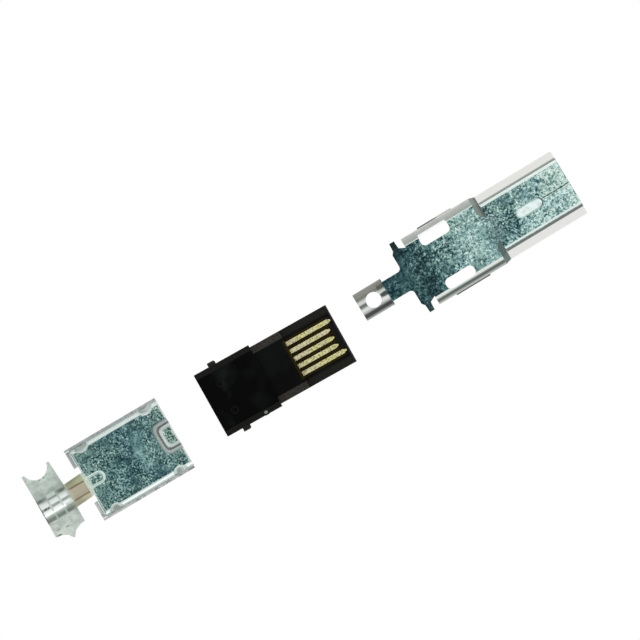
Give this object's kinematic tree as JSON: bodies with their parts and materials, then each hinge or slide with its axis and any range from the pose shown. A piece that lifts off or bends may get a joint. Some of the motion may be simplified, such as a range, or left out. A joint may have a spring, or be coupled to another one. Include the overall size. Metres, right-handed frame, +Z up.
{
  "type": "mini usb plug",
  "caption": "Small plug for a cable, taken apart: folded metal front shell, black insulator with flat contacts, and rear shell with an open crimp barrel.",
  "frame": {"origin": "middle of the whole row, on the table it lies on", "axes": "+X along the row to the tip of the nose, +Y to the side of contact_1, +Z up on the contact side"},
  "size_m": [0.0588, 0.0088, 0.0046],
  "materials": {
    "shell_metal": "bright plated sheet metal",
    "insulator_plastic": "black moulded plastic, slightly glossy",
    "contact_metal": "thin pale gold plating"
  },
  "bodies": {
    "root": {"front_shell": "shell_metal", "rear_shell": "shell_metal", "insulator": "insulator_plastic", "contact_1": "contact_metal", "contact_2": "contact_metal", "contact_3": "contact_metal", "contact_4": "contact_metal", "contact_5": "contact_metal"}
  },
  "joints": []
}
